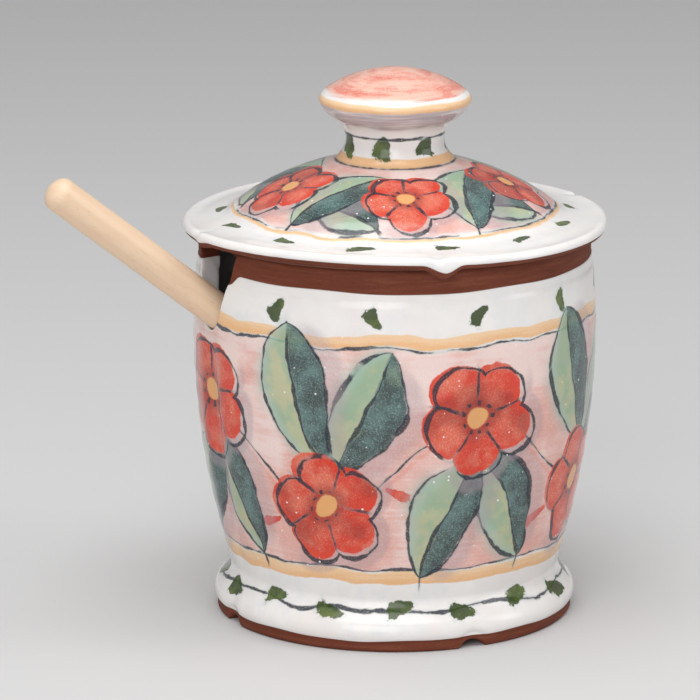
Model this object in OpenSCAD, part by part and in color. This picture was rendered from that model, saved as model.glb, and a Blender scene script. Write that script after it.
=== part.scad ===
// Covered honey jar: a thrown jar, its loose lid with a knob, and a turned dipper in the rim's notch.
// Millimetres. The origin is the middle of the flat base, +Z is up, and the notch faces -X.

/* [Jar] */
// Height of the jar's mouth above the table
jar_h = 106.6; // [100:0.1:125]
// Diameter at the widest part of the belly
belly_d = 110; // [108:0.5:130]
// Height of the widest part of the belly
belly_z = 78; // [60:0.5:90]
// Diameter of the waist above the foot
waist_d = 90; // [80:0.5:96]
// Height of the waist
waist_z = 14; // [12:0.5:24]
// Diameter over the rolled foot
foot_d = 99.2; // [97:0.1:106]
// Height of the rolled foot's crest
foot_z = 5.2; // [4.5:0.1:7]
// Radius of the foot's roll
foot_roll = 4.4; // [3:0.1:5.5]
// Diameter of the flat base
base_d = 98; // [90:0.5:99]
// Bevel round the base's lower edge
base_bevel = 0.6; // [0.3:0.1:1.2]
// Diameter of the straight neck under the lid
neck_d = 107.4; // [104:0.1:114]
// Height of the straight neck
neck_h = 8.8; // [6:0.1:12]
// Thickness of the jar's wall
wall = 5.5; // [4:0.1:8]
// Thickness of the jar's floor
floor_t = 7; // [4:0.1:12]
// Radius of the inside corner between wall and floor
corner = 8; // [4:0.5:12]
// Rounding of the mouth's inner and outer edges
lip = 1.2; // [0.5:0.1:2]

/* [Pressed grooves] */
// Number of grooves pressed into the wall, the first one under the notch
grooves = 4; // [2:1:8]
// Depth of a groove at its middle
groove_depth = 1.3; // [0.5:0.1:2]
// Radius of the tool that pressed the grooves
groove_r = 7; // [4:0.5:12]
// Height of a groove's middle
groove_z = 52; // [40:1:65]
// How far the grooves are turned from the notch, in degrees
groove_turn = 2; // [-10:0.5:10]
// Height of the arch that a groove leaves under the foot
arch_h = 2.4; // [1:0.1:3.5]
// Width of that arch on the table
arch_w = 8; // [6:0.1:14]
// How far the arch runs in under the base
arch_in = 9; // [5:0.5:16]

/* [Notch for the dipper] */
// Height of the notch's lowest point on the outside of the wall
notch_z = 83.6; // [78:0.1:90]
// Width of the notch at the mouth
notch_w = 24.1; // [18:0.1:30]
// Room on each side of the handle at the bottom of the notch
notch_room = 1.75; // [0.4:0.05:3]

/* [Lid] */
// Diameter over the lid's rolled rim
lid_d = 117.2; // [114:0.1:124]
// Radius of the rim's roll
rim_roll = 1.7; // [1.2:0.1:2.4]
// Height of the roll's middle above the seat
rim_z = 2.1; // [1.8:0.1:3]
// Width of the bare seat's overhang outside the jar's neck
seat_over = 1; // [0.4:0.1:2]
// Diameter where the cone rises from the rim
cone_d = 92.4; // [84:0.1:98]
// Height of the cone's lower edge above the seat
cone_z = 4.6; // [4:0.1:6.6]
// Diameter of the cone's top, where the knob begins
crown_d = 34.6; // [30:0.1:40]
// Height of the cone's top above the seat
crown_z = 18.6; // [16:0.1:24]
// Thickness of the lid's cone
lid_t = 4.4; // [3.6:0.1:6]
// Depth of the ring that drops into the mouth
flange_h = 6; // [4:0.1:9]
// Thickness of that ring
flange_t = 4; // [3:0.1:6]
// Clearance between the ring and the inside of the mouth
flange_gap = 2.7; // [1:0.1:4]

/* [Knob] */
// Diameter of the knob's neck
knob_neck_d = 27; // [20:0.1:30]
// Height of the neck's narrowest place above the seat
knob_neck_z = 24.9; // [23.6:0.1:28]
// Diameter of the knob
knob_d = 41.7; // [36:0.1:48]
// Height of the knob's widest place above the seat
knob_z = 35.9; // [34:0.1:40]
// Height of the knob's top above the seat
knob_top = 44.4; // [42:0.1:52]

/* [Pinches in the lid's rim] */
// Where the rim is pinched, in degrees round from the notch
pinch_at = [1, 79, 186, 271];
// How far a pinch presses the rim down
pinch_drop = 2; // [1:0.1:2.8]
// How far the drawn-down rim reaches to each side of a pinch
pinch_reach = 4.3; // [3:0.1:6]
// Depth of the dimple that a pinch leaves on top
dimple_depth = 0.8; // [0.3:0.1:1.4]
// Radius of the dimple's curve
dimple_r = 4; // [3:0.1:6]

/* [Dipper] */
// Length of the dipper
dipper_l = 174; // [165:0.5:200]
// Length of the rounding at the handle's end
handle_round = 3.6; // [1:0.1:4.5]
// Diameter of the dipper's handle
handle_d = 9.5; // [8:0.1:11]
// Diameter of the head at its middle
head_d = 27; // [22:0.5:30]
// Diameter of the head at its two ends
head_end_d = 20; // [16:0.5:24]
// Length of the head
head_l = 38; // [30:0.5:44]
// Number of discs on the head
discs = 7; // [4:1:9]
// Width of the gap between two discs
disc_gap = 2.3; // [1.5:0.1:3]
// Diameter of the core between the discs
core_d = 13; // [10:0.1:16]
// Length of the taper from the handle to the head
collar_l = 6; // [3:0.5:12]
// How steeply the dipper leans into the jar, in degrees
dipper_tilt = 38.5; // [34:0.5:44]

/* [Fits] */
// Gap between the dipper and what it leans on
rest_gap = 0.3; // [0.2:0.05:0.5]

/* [Hidden] */
$fn = 96;

// Steps on a long curve, on the jar's gently curved wall and on a short curve
long_steps = 14;
wall_steps = 10;
short_steps = 6;
// How far a cutter runs past the face that it opens
past = 1;

belly_r = belly_d / 2;
waist_r = waist_d / 2;
neck_r = neck_d / 2;
mouth_r = neck_r - wall;
handle_r = handle_d / 2;

// The belly is one arc, upright at its widest height, that runs down to the waist
belly_arc = (pow(belly_r - waist_r, 2) + pow(belly_z - waist_z, 2)) / (2 * (belly_r - waist_r));
function belly_at(z) = belly_r - belly_arc + sqrt(pow(belly_arc, 2) - pow(z - belly_z, 2));

// Points along a curve from a to b that leaves and arrives towards c
function curve(a, c, b, steps) = [
    for (i = [0 : steps]) let (t = i / steps)
        (1 - t) * (1 - t) * a + 2 * t * (1 - t) * c + t * t * b
];

// Points along a circle's arc round the centre c
function arc(c, r, from, to, steps) = [
    for (i = [0 : steps]) let (a = from + (to - from) * i / steps)
        c + r * [cos(a), sin(a)]
];

// Jar: the foot's arc starts and ends at these angles
foot_from = -30;
foot_to = 50;
foot_c = [foot_d / 2 - foot_roll, foot_z];
foot_top = foot_c + foot_roll * [cos(foot_to), sin(foot_to)];
// The curve above the foot is drawn in this far below the waist, and its bend lies above the middle
foot_hollow = 0.6;
foot_pull = [waist_r - foot_hollow, (foot_top[1] + waist_z) / 2 + 1];
// The belly meets the neck over this height
neck_blend = 1;
neck_z = jar_h - neck_h;
wall_top = neck_z - neck_blend;
inside_z = floor_t + corner;
inside_r = belly_at(inside_z) - wall;

jar_outside = concat(
    [[base_d / 2 - base_bevel, 0], [base_d / 2, base_bevel]],
    arc(foot_c, foot_roll, foot_from, foot_to, short_steps),
    curve(foot_top, foot_pull, [waist_r, waist_z], short_steps),
    [for (i = [1 : wall_steps]) let (z = waist_z + (wall_top - waist_z) * i / wall_steps)
        [belly_at(z), z]],
    [[neck_r, neck_z]],
    arc([neck_r - lip, jar_h - lip], lip, 0, 90, short_steps)
);
jar_inside = concat(
    arc([mouth_r + lip, jar_h - lip], lip, 90, 180, short_steps),
    [[mouth_r, neck_z]],
    [for (i = [1 : wall_steps]) let (z = wall_top - (wall_top - inside_z) * i / wall_steps)
        [belly_at(z) - wall, z]],
    arc([inside_r - corner, inside_z], corner, 0, -90, short_steps)
);

// A groove is pressed by a bent tool, flatter than the belly, so it runs out at both ends
groove_run = groove_z - waist_z;
groove_arc = 1 / (1 / belly_arc - 2 * groove_depth / pow(groove_run, 2));
groove_mid_z = groove_z + (belly_z - groove_z) * groove_arc / belly_arc;
groove_mid_x = belly_at(groove_z) - groove_depth - sqrt(pow(groove_arc, 2) - pow(groove_mid_z - groove_z, 2));

module groove() {
    intersection() {
        translate([groove_mid_x, 0, groove_mid_z])
            rotate([90, 0, 0])
                rotate_extrude()
                    translate([groove_arc + groove_r, 0]) circle(groove_r);
        translate([0, -2 * groove_r, waist_z + past / 2])
            cube([belly_d, 4 * groove_r, jar_h]);
    }
    // The same press flattens the foot's roll
    translate([foot_d / 2 + groove_r - groove_depth, 0, -past])
        cylinder(r = groove_r, h = waist_z);
}

// The arch under the foot is a round scallop that runs out inwards
arch_r = (pow(arch_h, 2) + pow(arch_w / 2, 2)) / (2 * arch_h);
arch_tilt = atan(arch_h / arch_in);

module arch() {
    translate([base_d / 2, 0, arch_h - arch_r])
        rotate([0, 90 - arch_tilt, 0])
            translate([0, 0, -2 * arch_in])
                cylinder(r = arch_r, h = 2 * arch_in + foot_roll);
}

// Dipper: its axis crosses the outside of the wall at saddle, and the lean's own directions follow
saddle_r = belly_at(notch_z);
saddle_z = notch_z + (handle_r + rest_gap) / cos(dipper_tilt);

// The dipper slides in until the upper edge of its end meets the far wall, found by a few steps
function end_reach(l) = l * cos(dipper_tilt) + head_end_d / 2 * sin(dipper_tilt) - saddle_r;
function end_height(l) = saddle_z - l * sin(dipper_tilt) + head_end_d / 2 * cos(dipper_tilt);
function seat(l, n) = n == 0 ? l :
    seat(l + (belly_at(end_height(l)) - wall - rest_gap - end_reach(l)) / (2 * cos(dipper_tilt)), n - 1);
seat_steps = 12;
wall_stop = seat(belly_d, seat_steps);
floor_stop = (saddle_z - floor_t - rest_gap - head_end_d / 2 * cos(dipper_tilt)) / sin(dipper_tilt);
dipper_in = min(wall_stop, floor_stop);

module on_dipper_axis() {
    translate([-saddle_r, 0, saddle_z])
        rotate([0, -(90 - dipper_tilt), 0])
            children();
}

// The notch is cut along the dipper: a round bottom, and sides that spread up to the mouth
notch_r = handle_r + notch_room;
notch_lift = notch_room - rest_gap;
notch_up = (jar_h - saddle_z) * cos(dipper_tilt) - notch_lift;
// Each side leaves the round bottom along its tangent and passes the mouth's corner at this slant
notch_slant = acos(notch_r / norm([notch_w / 2, notch_up])) - atan2(notch_up, notch_w / 2);
notch_top = notch_up + 2 * wall;
notch_top_w = (notch_r + notch_top * sin(notch_slant)) / cos(notch_slant);
// The cutter reaches through the wall up to the mouth, which is this far off along the lean
notch_out = (jar_h - saddle_z) * sin(dipper_tilt) + 2 * wall;

module notch() {
    on_dipper_axis()
        translate([notch_lift, 0, -notch_out])
            linear_extrude(2 * notch_out)
                polygon(concat(
                    arc([0, 0], notch_r, 90 + notch_slant, 270 - notch_slant, long_steps),
                    [[notch_top, -notch_top_w], [notch_top, notch_top_w]]
                ));
}

// Lid: heights here are above the seat, which lies on the jar's mouth
flange_r = mouth_r - flange_gap;
hollow_r = flange_r - flange_t;
rim_c = [lid_d / 2 - rim_roll, rim_z];
rim_top_angle = 80;
rim_top = rim_c + rim_roll * [cos(rim_top_angle), sin(rim_top_angle)];
cone_foot = [cone_d / 2, cone_z];
crown = [crown_d / 2, crown_z];
knob_neck = [knob_neck_d / 2, knob_neck_z];
knob_side = [knob_d / 2, knob_z];

// The point at a share of the way in from b to a, and at another share of the way up
function between(a, b, in, up) = [b[0] + in * (a[0] - b[0]), a[1] + up * (b[1] - a[1])];

// The rim dips a little before the cone, which swells: it rises steeply and arrives flat at the crown
dip_pull = between(rim_top, cone_foot, 0.5, -0.6);
cone_pull = between(cone_foot, crown, 0.58, 0.71);
// The knob's underside and its dome change their curve at these points
under = between(knob_neck, knob_side, 0.5, 0.55);
shoulder = between(knob_side, [0, knob_top], 0.637, 0.66);
// The curves of the knob leave and arrive towards these points
neck_pull = between(crown, knob_neck, 0, 0.47);
under_pull = between(knob_neck, under, 1, 0.73);
side_pull = between(under, knob_side, 0, 0.54);
edge_pull = between(knob_side, shoulder, 1, 0.37);
dome_pull = between(shoulder, [0, knob_top], 0.51, 0.9);

lid_outside = concat(
    [[neck_r + seat_over, 0]],
    arc(rim_c, rim_roll, -90, rim_top_angle, 2 * short_steps),
    curve(rim_top, dip_pull, cone_foot, short_steps),
    curve(cone_foot, cone_pull, crown, long_steps),
    curve(crown, neck_pull, knob_neck, short_steps),
    curve(knob_neck, under_pull, under, short_steps),
    curve(under, side_pull, knob_side, short_steps),
    curve(knob_side, edge_pull, shoulder, short_steps),
    curve(shoulder, dome_pull, [0, knob_top], short_steps)
);
// The hollow follows the cone at the lid's thickness, measured straight down
hollow_foot = [hollow_r, cone_z - lid_t];
hollow_crown = [crown[0] - lid_t / 2, crown_z - lid_t];
hollow_pull = between(hollow_foot, hollow_crown, 0.58, 0.8);
lid_inside = concat(
    [[0, hollow_crown[1] + past]],
    curve(hollow_crown, hollow_pull, hollow_foot, long_steps),
    [[hollow_r, lip - flange_h]],
    arc([hollow_r + lip, lip - flange_h], lip, 180, 270, short_steps),
    arc([flange_r - lip, lip - flange_h], lip, 270, 360, short_steps),
    [[flange_r, 0]]
);

// A pinch draws the rim down into a soft V: balls as thick as the roll, set down in steps to each side
pinch_steps = 2;
// The outermost ball stands at this share of the reach, and the V follows a cosine up to this angle
pinch_end = 0.75;
pinch_sweep = 135;

module pinch() {
    for (i = [-pinch_steps : pinch_steps]) let (side = i / pinch_steps)
        translate([
            rim_c[0],
            side * pinch_reach * pinch_end,
            rim_z - pinch_drop * (1 + cos(pinch_sweep * side)) / 2
        ])
            sphere(rim_roll);
}

module dimple() {
    translate([rim_c[0] + rim_roll / 2, 0, rim_z + rim_roll + dimple_r - dimple_depth])
        sphere(dimple_r);
}

// Dipper: heights here run along its axis, from the end of its head
head_swell = (head_d - head_end_d) / 2;
disc_t = (head_l - (discs - 1) * disc_gap) / discs;
function head_at(s) = head_d / 2 - head_swell * pow(2 * s / head_l - 1, 2);

dipper_outline = concat(
    [[0, 0]],
    [for (i = [0 : discs - 1]) let (low = i * (disc_t + disc_gap), high = low + disc_t)
        each concat(
            i == 0 ? [] : [[core_d / 2, low]],
            [for (s = [low, (low + high) / 2, high]) [head_at(s), s]],
            i == discs - 1 ? [] : [[core_d / 2, high]]
        )],
    [[core_d / 2, head_l], [handle_r, head_l + collar_l]],
    [for (i = [0 : short_steps]) let (a = 90 * i / short_steps)
        [handle_r * cos(a), dipper_l - handle_round * (1 - sin(a))]]
);

module jar() {
    color([0.88, 0.76, 0.73])
        difference() {
            rotate_extrude() polygon(concat(jar_outside, jar_inside, [[0, floor_t], [0, 0]]));
            for (i = [0 : grooves - 1]) rotate([0, 0, 180 + groove_turn + i * 360 / grooves]) {
                groove();
                arch();
            }
            notch();
        }
}

module lid() {
    color([0.9, 0.8, 0.77])
        translate([0, 0, jar_h])
            difference() {
                union() {
                    rotate_extrude() polygon(concat(lid_outside, lid_inside));
                    for (a = pinch_at) rotate([0, 0, 180 + a]) pinch();
                }
                for (a = pinch_at) rotate([0, 0, 180 + a]) dimple();
            }
}

module dipper() {
    color([0.88, 0.74, 0.58])
        on_dipper_axis()
            translate([0, 0, -dipper_in])
                rotate_extrude() polygon(dipper_outline);
}

jar();
lid();
dipper();
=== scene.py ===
# %% [markdown]
# # A covered honey jar, from bare frame to glazed pot
# The jar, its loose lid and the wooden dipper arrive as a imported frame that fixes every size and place.
# We could paint straight onto that frame, but it is plain. So each of the three pieces is thrown again
# as a finer mesh in the same place, and the frame's own node is hidden behind it.

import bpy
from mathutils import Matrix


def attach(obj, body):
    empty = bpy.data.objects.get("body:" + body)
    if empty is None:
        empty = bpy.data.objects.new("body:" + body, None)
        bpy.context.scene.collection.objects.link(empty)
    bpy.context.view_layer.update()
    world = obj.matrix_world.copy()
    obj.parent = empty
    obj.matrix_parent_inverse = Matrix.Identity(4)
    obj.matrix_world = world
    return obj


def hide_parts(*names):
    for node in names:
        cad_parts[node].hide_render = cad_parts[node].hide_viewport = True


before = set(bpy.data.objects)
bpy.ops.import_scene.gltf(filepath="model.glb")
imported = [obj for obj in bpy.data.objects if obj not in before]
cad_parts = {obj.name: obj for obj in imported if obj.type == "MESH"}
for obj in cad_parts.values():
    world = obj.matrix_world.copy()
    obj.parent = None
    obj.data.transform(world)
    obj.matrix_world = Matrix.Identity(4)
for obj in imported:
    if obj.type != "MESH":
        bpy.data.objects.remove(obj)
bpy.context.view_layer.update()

# %% [markdown]
# ## The camera comes first
# The photograph looks a little down on the jar, from the left of its dipper. A long lens from well back
# keeps the lid's rim nearly flat, as it is there. The camera could be placed by eye, but an azimuth, an
# elevation and a distance are easier to read. The view is centred by aiming beside the jar, so the lens
# needs no shift.

# %% Place the camera
import math

import bpy
from mathutils import Matrix, Vector, noise

MM = 0.001
view_azimuth = math.radians(-24)
view_elevation = math.radians(13.5)
view_distance = 1.375
view_centre = Vector((0, 0, 0.075))
aim_left = 12.24 * MM
aim_down = 2.99 * MM

back = Vector((
    math.sin(view_azimuth) * math.cos(view_elevation),
    -math.cos(view_azimuth) * math.cos(view_elevation),
    math.sin(view_elevation),
))
turn = back.to_track_quat("Z", "Y")
aim = view_centre + turn @ Vector((-aim_left, -aim_down, 0))
camera_at = view_centre + back * view_distance
camera = bpy.data.objects.new("camera", bpy.data.cameras.new("camera"))
camera.data.lens = 257.14
camera.data.sensor_width = 36
camera.location = camera_at
camera.rotation_euler = (camera_at - aim).to_track_quat("Z", "Y").to_euler()
bpy.context.scene.collection.objects.link(camera)
bpy.context.scene.camera = camera
print("camera at", [round(part, 3) for part in camera_at])

# %% [markdown]
# ## Outlines for the wheel
# Everything here is round, so each piece starts as half of its section, drawn in millimetres as radius
# and height. The section could be traced by hand. Round stretches and soft curves say what the potter
# meant, and they are the frame's own curves with more steps.

# %% Stretches of an outline
def arc(centre, radius, start, end, steps):
    """A round stretch between two angles in degrees."""
    turns = [math.radians(start + (end - start) * step / steps) for step in range(steps + 1)]
    return [(centre[0] + radius * math.cos(t), centre[1] + radius * math.sin(t)) for t in turns]


def curve(start, pull, end, steps):
    """A soft stretch that leaves its start, and reaches its end, towards the point that pulls it."""
    shares = [step / steps for step in range(steps + 1)]
    return [
        tuple((1 - t) ** 2 * a + 2 * t * (1 - t) * p + t * t * b for a, p, b in zip(start, pull, end))
        for t in shares
    ]


def straight(start, end, steps):
    """A straight stretch."""
    return [tuple(a + (b - a) * step / steps for a, b in zip(start, end)) for step in range(steps + 1)]


def between(a, b, inwards, upwards):
    """The point at a share of the way in from b to a, and at another share of the way up."""
    return (b[0] + inwards * (a[0] - b[0]), a[1] + upwards * (b[1] - a[1]))


# %% [markdown]
# ## The wheel
# A potter's wheel turns an outline into a wall, and the spin operator does the same. Each point carries
# its part of the wall and the height at which it was thrown. The spin copies both round, so that later
# presses, and the paint, know the outside from the lip and the inside.

# %% Throw an outline
import bmesh

OUTSIDE, LIP, INSIDE = range(3)
same_point = 0.002 * MM


def throw(stretches, columns):
    """Spins (part, outline) stretches into one closed skin, with the seam and the poles merged."""
    wheel = bmesh.new()
    wheel.verts.layers.float.new("part")
    wheel.verts.layers.float.new("thrown_z")
    part, thrown_z = (wheel.verts.layers.float[name] for name in ("part", "thrown_z"))
    wall = []
    for name, outline in stretches:
        for radius, height in outline:
            point = Vector((-radius, 0, height)) * MM
            if wall and (wall[-1].co - point).length < same_point:
                continue
            wall.append(wheel.verts.new(point))
            wall[-1][part] = name
            wall[-1][thrown_z] = height
    edges = [wheel.edges.new(pair) for pair in zip(wall, wall[1:])]
    bmesh.ops.spin(wheel, geom=wall + edges, cent=(0, 0, 0), axis=(0, 0, 1), dvec=(0, 0, 0),
                   angle=2 * math.pi, steps=columns, use_merge=True)
    bmesh.ops.remove_doubles(wheel, verts=wheel.verts[:], dist=same_point)
    bmesh.ops.recalc_face_normals(wheel, faces=wheel.faces[:])
    return wheel


def press(wheel, touch):
    """Moves each point by a touch that is told its angle round from the notch, radius, height and part."""
    part = wheel.verts.layers.float["part"]
    for point in wheel.verts:
        x, y, height = point.co / MM
        angle, radius, height = touch(math.atan2(-y, -x), math.hypot(x, y), height, point[part])
        point.co = Vector((-radius * math.cos(angle), -radius * math.sin(angle), height)) * MM


def off_the_wheel(wheel, name):
    """Makes the thrown skin an object with smooth shading."""
    mesh = bpy.data.meshes.new(name)
    wheel.to_mesh(mesh)
    wheel.free()
    mesh.polygons.foreach_set("use_smooth", [True] * len(mesh.polygons))
    piece = bpy.data.objects.new(name, mesh)
    bpy.context.scene.collection.objects.link(piece)
    print(name, "has", len(mesh.vertices), "points and", len(mesh.polygons), "faces")
    return piece


def fired(wheel, name, body):
    """A piece that stands for the frame's node of its body, and moves with that body."""
    piece = off_the_wheel(wheel, name)
    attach(piece, body)
    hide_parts(body)
    return piece


# %% [markdown]
# ## The jar's section
# The jar stands on a rolled foot, swells in one long arc to its belly and ends in a straight neck that
# the lid covers. The inside follows the outside at the wall's thickness. Rows lie closer where the glaze
# stops, because its edge is a real step there.

# %% Draw the jar's section
mouth_z = 106.6
neck_r = 53.7
neck_z = 97.8
neck_blend = 1
wall = 5.5
mouth_r = neck_r - wall
lip = 1.2
floor_t = 7
corner = 8
belly_r = 55
belly_z = 78
waist = (45, 14)
base_r = 49
base_bevel = 0.6
foot_middle = (45.2, 5.2)
foot_roll = 4.4
foot_hollow = 0.6

belly_arc = ((belly_r - waist[0]) ** 2 + (belly_z - waist[1]) ** 2) / (2 * (belly_r - waist[0]))


def belly_at(height):
    """Radius of the belly's arc at a height."""
    return belly_r - belly_arc + math.sqrt(belly_arc ** 2 - (height - belly_z) ** 2)


def outside_at(height):
    """Radius of the outside, from the waist to the mouth."""
    share = min(max((height - neck_z + neck_blend) / neck_blend, 0), 1)
    return belly_at(min(height, neck_z - neck_blend)) * (1 - share) + neck_r * share


def inside_at(height):
    """Radius of the inside, from its round corner to the mouth."""
    return outside_at(height) - wall


def rising(radius_at, start, end, steps):
    """A stretch of wall that follows a rule for its radius."""
    return [(radius_at(height), height) for _, height in straight((0, start), (0, end), steps)]


lip_z = mouth_z - lip
inside_z = floor_t + corner
flat_r = 38
outside_rows = ((waist[1], 84, 42), (84, 96.5, 12), (96.5, 99, 5), (99, 101.2, 12), (101.2, lip_z, 6))
inside_rows = ((lip_z, 90, 16), (90, inside_z, 26))
foot_arc = arc(foot_middle, foot_roll, -30, 50, 14)
foot_pull = (waist[0] - foot_hollow, (foot_arc[-1][1] + waist[1]) / 2 + 1)
jar_section = [
    (OUTSIDE, straight((0, 0), (flat_r, 0), 5) + straight((flat_r, 0), (base_r - base_bevel, 0), 9)),
    (OUTSIDE, straight((base_r, base_bevel), foot_arc[0], 5) + foot_arc),
    (OUTSIDE, curve(foot_arc[-1], foot_pull, waist, 7)),
    *((OUTSIDE, rising(outside_at, *rows)) for rows in outside_rows),
    (LIP, arc((neck_r - lip, lip_z), lip, 0, 90, 6)),
    (LIP, straight((neck_r - lip, mouth_z), (mouth_r + lip, mouth_z), 4)),
    (LIP, arc((mouth_r + lip, lip_z), lip, 90, 180, 6)),
    *((INSIDE, rising(inside_at, *rows)) for rows in inside_rows),
    (INSIDE, arc((inside_at(inside_z) - corner, inside_z), corner, 0, -90, 9)),
    (INSIDE, straight((inside_at(inside_z) - corner, floor_t), (0, floor_t), 10)),
]
print("jar section:", sum(len(outline) for _, outline in jar_section), "points, mouth radius", mouth_r)

# %% [markdown]
# ## The dipper's notch
# While the clay was soft, a notch was cut down through the mouth, in line with the dipper that would
# lean in it: round at the bottom, with sides that spread upwards. A boolean cut would leave ragged edges
# and no glazed rounding. Here the rolled lip itself sinks to the height of the cut, so its soft edge
# runs on round the notch, and the wall below it is squeezed together like a bellows.

# %% Let the lip sink into the notch
dipper_lean = math.radians(38.5)
saddle_r = 54.93
saddle_z = 90.05
notch_round = 6.5
notch_lift = 1.45
notch_slant = math.radians(23.4)
notch_corner = 3
notch_reach = math.radians(22)
squeeze_z = {OUTSIDE: 70, INSIDE: 60}


def cut_height(towards, aside):
    """Height of the cut at a spot that far towards the notch, and that far aside from its middle."""
    aside = abs(aside)
    if aside < notch_round * math.cos(notch_slant):
        rise = -math.sqrt(notch_round ** 2 - aside ** 2)
    else:
        rise = (aside * math.cos(notch_slant) - notch_round) / math.sin(notch_slant)
    slope = (towards - saddle_r) * math.tan(dipper_lean)
    return saddle_z + slope + (rise + notch_lift) / math.cos(dipper_lean)


def lip_drop(angle, radius_at):
    """How far the lip sinks at an angle, on the outside or the inside. Its upper corners are rounded."""
    if abs(angle) > notch_reach:
        return 0
    drop = 0
    for _ in range(3):
        radius = radius_at(mouth_z - drop)
        cut = mouth_z - cut_height(radius * math.cos(angle), radius * math.sin(angle))
        blend = max(notch_corner - abs(cut), 0) / notch_corner
        drop = max(cut, 0) + blend ** 2 * notch_corner / 4
    return drop


def notched(angle, radius, height, part):
    """Where a point of the plain wall goes when the notch is cut."""
    outer_drop = lip_drop(angle, outside_at)
    inner_drop = lip_drop(angle, inside_at)
    if not outer_drop and not inner_drop:
        return radius, height
    if part == LIP:
        share = (radius - mouth_r) / wall
        inner_r = inside_at(lip_z - inner_drop)
        outer_r = outside_at(lip_z - outer_drop)
        drop = inner_drop + share * (outer_drop - inner_drop)
        return inner_r + share * (outer_r - inner_r), height - drop
    low = squeeze_z[part]
    if height <= low:
        return radius, height
    drop, radius_at = (outer_drop, outside_at) if part == OUTSIDE else (inner_drop, inside_at)
    height = low + (height - low) * (1 - drop / (lip_z - low))
    return radius_at(height), height


print("notch bottom outside:", round(mouth_z - lip_drop(0, outside_at), 1), "mm up")

# %% [markdown]
# ## Pressed grooves and the arches under the foot
# Four upright grooves were pressed into the soft wall with a bent tool, the first one under the notch,
# and each leaves a small arch where it lifts the foot off the board. They are dents with soft shoulders,
# so a rule that pushes points in is truer than a cut.

# %% Press the grooves and arches
groove_turn = 2
groove_step = 90
groove_z = 52
groove_run = 38
groove_depth = 1.3
groove_half = 3.6
shoulder_at = 7.6
shoulder_half = 3
shoulder_rise = 0.16
foot_flat = 0.9
arch_h = 2.4
arch_half = 4
arch_in = 9
arch_round = (arch_h ** 2 + arch_half ** 2) / (2 * arch_h)
arch_fade_z = 6.5


def bell(distance, half_width):
    """A soft hump, 1 at its middle and a third at its half width."""
    return math.exp(-(distance / half_width) ** 2)


def from_groove(angle):
    """Angle to the nearest groove, in radians."""
    turned = math.degrees(angle) - groove_turn
    return math.radians((turned + groove_step / 2) % groove_step - groove_step / 2)


def groove_dent(aside, height):
    """How far the tool pressed the wall in."""
    along = 1 - ((height - groove_z) / groove_run) ** 2
    if along > 0:
        valley = groove_depth * bell(aside, groove_half)
        shoulders = shoulder_rise * bell(abs(aside) - shoulder_at, shoulder_half)
        return along * (valley - shoulders)
    return foot_flat * bell(aside, groove_half) * bell(height - foot_middle[1], foot_roll)


def arch_lift(aside, radius):
    """How far the arch lifts the foot's edge off the table."""
    if abs(aside) >= arch_half:
        return 0
    under = max(1 - (base_r - radius) / arch_in, 0)
    return under * (arch_h - arch_round + math.sqrt(arch_round ** 2 - aside ** 2))


# %% [markdown]
# ## Marks of the hand
# Fingers leave faint rings as the wall rises, and no thrown pot is quite round. Smooth noise gives both,
# always the same way. The glaze is a skin a quarter of a millimetre thick that stops in a wavy line at
# the neck and just above the foot, where the clay is left bare. The line is a sum of waves, so that the
# paint can follow it later.

# %% Rings, wobble and the glaze's edge
glaze_t = 0.26
edge_half = 0.22
neck_line_z = 100.1
foot_line_z = 3.3
neck_waves = ((0.24, 3, 0.6), (0.16, 7, 2.1), (0.09, 13, 4.0))
foot_waves = ((0.22, 4, 1.2), (0.14, 9, 3.0), (0.08, 17, 0.3))
ring_pitch = 7.5
ring_depth = 0.07
inner_ring_depth = 0.18
wobble_depth = 0.22
wobble_round = 1.3
wobble_rise = 30
held_low, held_high, held_half = 18, 92, 6
floor_clear = 2
sag_depth = 3.0
sag_at = 0.235
sag_half = 0.05


def wavy(level, waves, angle):
    """A line at a level that rises and falls round the pot."""
    return level + sum(size * math.sin(count * angle + start) for size, count, start in waves)


def notch_sag(angle):
    """How far the neck's line sags on one side of the notch, where wet glaze was wiped off the cut."""
    return sag_depth * soft_step(sag_at - angle, sag_half) * soft_step(angle, sag_half)


def soft_step(value, half_width):
    """0 well below nought, 1 well above it."""
    share = min(max(value / half_width / 2 + 0.5, 0), 1)
    return share * share * (3 - 2 * share)


def hand_marks(angle, height, part):
    """Rings from the fingers and a slow wobble, as a change of radius."""
    place = Vector((math.cos(angle) * wobble_round, math.sin(angle) * wobble_round, height / wobble_rise))
    wobble = wobble_depth * noise.noise(place)
    rings = math.sin(2 * math.pi * (height / ring_pitch) + angle)
    if part == INSIDE:
        return inner_ring_depth * (1 + rings) * (height > floor_t + floor_clear)
    held = soft_step(height - held_low, held_half) * soft_step(held_high - height, held_half)
    return held * (wobble + ring_depth * rings * (1 + noise.noise(place * 2)))


def glaze_skin(angle, height):
    """How thick the glaze lies on the outside."""
    below_neck = soft_step(wavy(neck_line_z, neck_waves, angle) - notch_sag(angle) - height, edge_half)
    above_foot = soft_step(height - wavy(foot_line_z, foot_waves, angle), edge_half)
    return glaze_t * below_neck * above_foot


# %% [markdown]
# ## The finished jar
# All the touches go into one rule. Columns are crowded towards the notch first, because its steep sides
# need them most.

# %% Make the jar
jar_columns = 380
crowding = 0.55


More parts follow.
